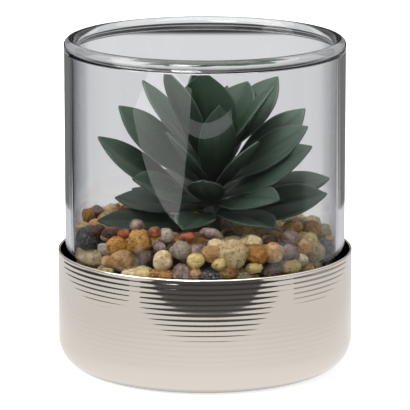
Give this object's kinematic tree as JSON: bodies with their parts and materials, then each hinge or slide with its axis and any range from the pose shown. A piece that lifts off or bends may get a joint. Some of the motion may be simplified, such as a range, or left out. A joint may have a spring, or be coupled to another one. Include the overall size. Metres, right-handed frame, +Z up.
{
  "type": "terrarium",
  "caption": "Open clear glass jar with a keeled, pointed-leaf succulent in mixed river pebbles, standing in a shallow ringed champagne-silver metal cup.",
  "frame": {"origin": "centre of the cup's flat underside", "axes": "+Z up along the jar's axis, +X to the viewer's right, -Y towards the viewer"},
  "size_m": [0.1, 0.1, 0.1125],
  "materials": {
    "cup_metal": "spun sheet metal, nickel-champagne plated, fine turned rings, bright",
    "jar_glass": "clear, fire-polished rim",
    "pebbles": "mixed river pebbles, lightly polished",
    "leaf": "moulded soft plastic, dark grey-green, satin gloss"
  },
  "bodies": {
    "root": {"metal_cup": "cup_metal", "glass_jar": "jar_glass", "pebble_bed": "pebbles", "succulent": "leaf"}
  },
  "joints": []
}
